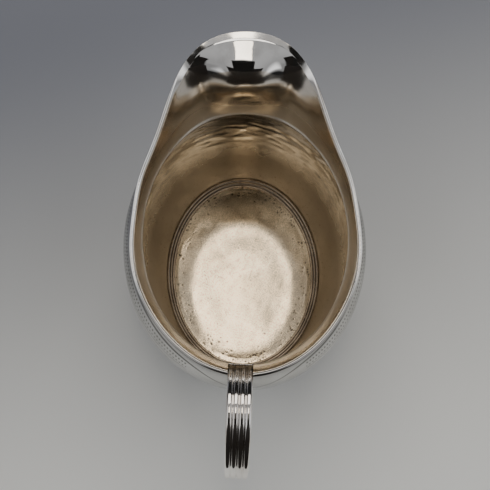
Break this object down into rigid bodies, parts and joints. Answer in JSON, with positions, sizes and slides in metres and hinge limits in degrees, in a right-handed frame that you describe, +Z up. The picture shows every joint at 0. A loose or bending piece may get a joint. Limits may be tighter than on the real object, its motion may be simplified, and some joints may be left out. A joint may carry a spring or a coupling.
{
  "type": "silver cream jug",
  "caption": "Oval flat-based silver jug for cream or sauce, with a bulging body, flared neck, broad pouring lip and reeded strap handle.",
  "frame": {"origin": "centre of the flat underside of the base plate", "axes": "+Z up, +Y towards the pouring lip, -Y towards the handle, +X to the right when looking from the handle to the lip"},
  "size_m": [0.077, 0.1232, 0.0786],
  "materials": {
    "silver_base": "worn, scratched silver with a dull patina",
    "silver_foot": "tarnished silver",
    "silver_body": "polished silver outside, warm tarnish inside",
    "silver_polished": "polished silver"
  },
  "bodies": {
    "root": {"base_plate": "silver_base", "bezel_wire": "silver_foot", "foot_band": "silver_foot", "body_wall": "silver_body", "neck": "silver_body", "rim_wire": "silver_polished", "handle": "silver_polished"}
  },
  "joints": []
}
